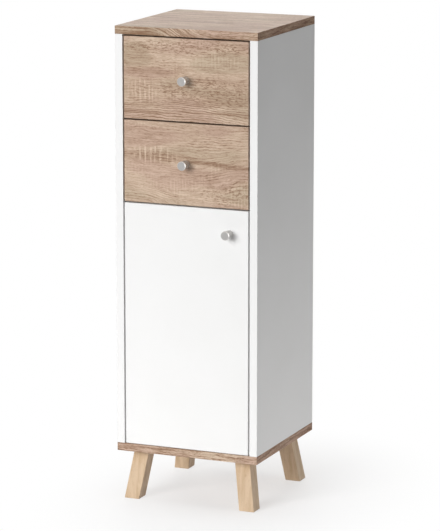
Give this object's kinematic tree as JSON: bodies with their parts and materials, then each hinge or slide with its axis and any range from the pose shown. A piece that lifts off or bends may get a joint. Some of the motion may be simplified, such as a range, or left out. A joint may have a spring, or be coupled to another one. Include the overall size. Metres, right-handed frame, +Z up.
{
  "type": "mid-height bathroom cabinet",
  "caption": "Narrow free-standing bathroom cabinet with inset drawers over a hinged door, oak-decor boards, white sides and splayed wooden legs.",
  "frame": {"origin": "on the floor, under the middle of the box that holds the cabinet and its knobs", "axes": "+Z up, +X to the right seen from the front, the fronts face -Y"},
  "size_m": [0.3, 0.323, 0.95],
  "materials": {
    "sonoma_oak_board": "matt printed oak decor on board, grain along X",
    "white_board": "satin white melamine",
    "drawer_board": "satin white foil",
    "white_hardboard": "white painted hardboard",
    "leg_wood": "clear lacquered light hardwood",
    "dowel_wood": "raw fluted beech",
    "satin_nickel": "satin nickel",
    "nickel_plate": "nickel plated steel",
    "zinc_plate": "zinc plated steel",
    "white_coated_steel": "white epoxy coating",
    "white_nylon": "natural white nylon"
  },
  "bodies": {
    "carcass": {"adjustable_shelf": "white_board", "back_panel": "white_hardboard", "bottom_panel": "sonoma_oak_board", "carcass_cam_bolts": "zinc_plate", "carcass_cam_discs": "zinc_plate", "carcass_dowels": "dowel_wood", "fixed_shelf": "white_board", "hinge_arm_lower": "nickel_plate", "hinge_arm_upper": "nickel_plate", "hinge_plate_lower": "nickel_plate", "hinge_plate_screws": "zinc_plate", "hinge_plate_upper": "nickel_plate", "leg_front_left": "leg_wood", "leg_front_right": "leg_wood", "leg_rear_left": "leg_wood", "leg_rear_right": "leg_wood", "leg_screws": "zinc_plate", "runner_channel_lower_left": "white_coated_steel", "runner_channel_lower_right": "white_coated_steel", "runner_channel_upper_left": "white_coated_steel", "runner_channel_upper_right": "white_coated_steel", "runner_screws": "zinc_plate", "shelf_pins": "zinc_plate", "side_panel_left": "white_board", "side_panel_right": "white_board", "top_panel": "sonoma_oak_board"},
    "drawer_upper": {"drawer_upper_back": "drawer_board", "drawer_upper_bottom": "white_hardboard", "drawer_upper_cam_fittings": "zinc_plate", "drawer_upper_front": "sonoma_oak_board", "drawer_upper_knob": "satin_nickel", "drawer_upper_knob_screw": "zinc_plate", "drawer_upper_rail_left": "white_coated_steel", "drawer_upper_rail_right": "white_coated_steel", "drawer_upper_screws": "zinc_plate", "drawer_upper_side_left": "drawer_board", "drawer_upper_side_right": "drawer_board"},
    "drawer_lower": {"drawer_lower_back": "drawer_board", "drawer_lower_bottom": "white_hardboard", "drawer_lower_cam_fittings": "zinc_plate", "drawer_lower_front": "sonoma_oak_board", "drawer_lower_knob": "satin_nickel", "drawer_lower_knob_screw": "zinc_plate", "drawer_lower_rail_left": "white_coated_steel", "drawer_lower_rail_right": "white_coated_steel", "drawer_lower_screws": "zinc_plate", "drawer_lower_side_left": "drawer_board", "drawer_lower_side_right": "drawer_board"},
    "door": {"door_knob": "satin_nickel", "door_knob_screw": "zinc_plate", "door_panel": "white_board", "hinge_cup_lower": "nickel_plate", "hinge_cup_screws": "zinc_plate", "hinge_cup_upper": "nickel_plate", "hinge_pins": "zinc_plate"},
    "front_rollers_upper": {"front_rollers_upper": "white_nylon"},
    "rear_rollers_upper": {"rear_rollers_upper": "white_nylon"},
    "front_rollers_lower": {"front_rollers_lower": "white_nylon"},
    "rear_rollers_lower": {"rear_rollers_lower": "white_nylon"}
  },
  "joints": [
    {"name": "drawer_upper_slide", "type": "slide", "parent": "carcass", "child": "drawer_upper", "axis": [0, -1, 0], "range_m": [0, 0.18]},
    {"name": "drawer_lower_slide", "type": "slide", "parent": "carcass", "child": "drawer_lower", "axis": [0, -1, 0], "range_m": [0, 0.18]},
    {"name": "door_hinge", "type": "hinge", "parent": "carcass", "child": "door", "pos_m": [-0.111, -0.1305, 0.36], "axis": [0, 0, -1], "range_deg": [0, 95]},
    {"name": "front_rollers_upper_spin", "type": "hinge", "parent": "carcass", "child": "front_rollers_upper", "pos_m": [0, -0.1055, 0.79835], "axis": [1, 0, 0], "continuous": true},
    {"name": "rear_rollers_upper_spin", "type": "hinge", "parent": "drawer_upper", "child": "rear_rollers_upper", "pos_m": [0, 0.1125, 0.79795], "axis": [1, 0, 0], "continuous": true},
    {"name": "front_rollers_lower_spin", "type": "hinge", "parent": "carcass", "child": "front_rollers_lower", "pos_m": [0, -0.1055, 0.63435], "axis": [1, 0, 0], "continuous": true},
    {"name": "rear_rollers_lower_spin", "type": "hinge", "parent": "drawer_lower", "child": "rear_rollers_lower", "pos_m": [0, 0.1125, 0.63395], "axis": [1, 0, 0], "continuous": true}
  ],
  "couplings": [
    {"joint": "front_rollers_upper_spin", "follows": "drawer_upper_slide", "rad_per_m": 116.28},
    {"joint": "rear_rollers_upper_spin", "follows": "drawer_upper_slide", "rad_per_m": 116.28},
    {"joint": "front_rollers_lower_spin", "follows": "drawer_lower_slide", "rad_per_m": 116.28},
    {"joint": "rear_rollers_lower_spin", "follows": "drawer_lower_slide", "rad_per_m": 116.28}
  ]
}
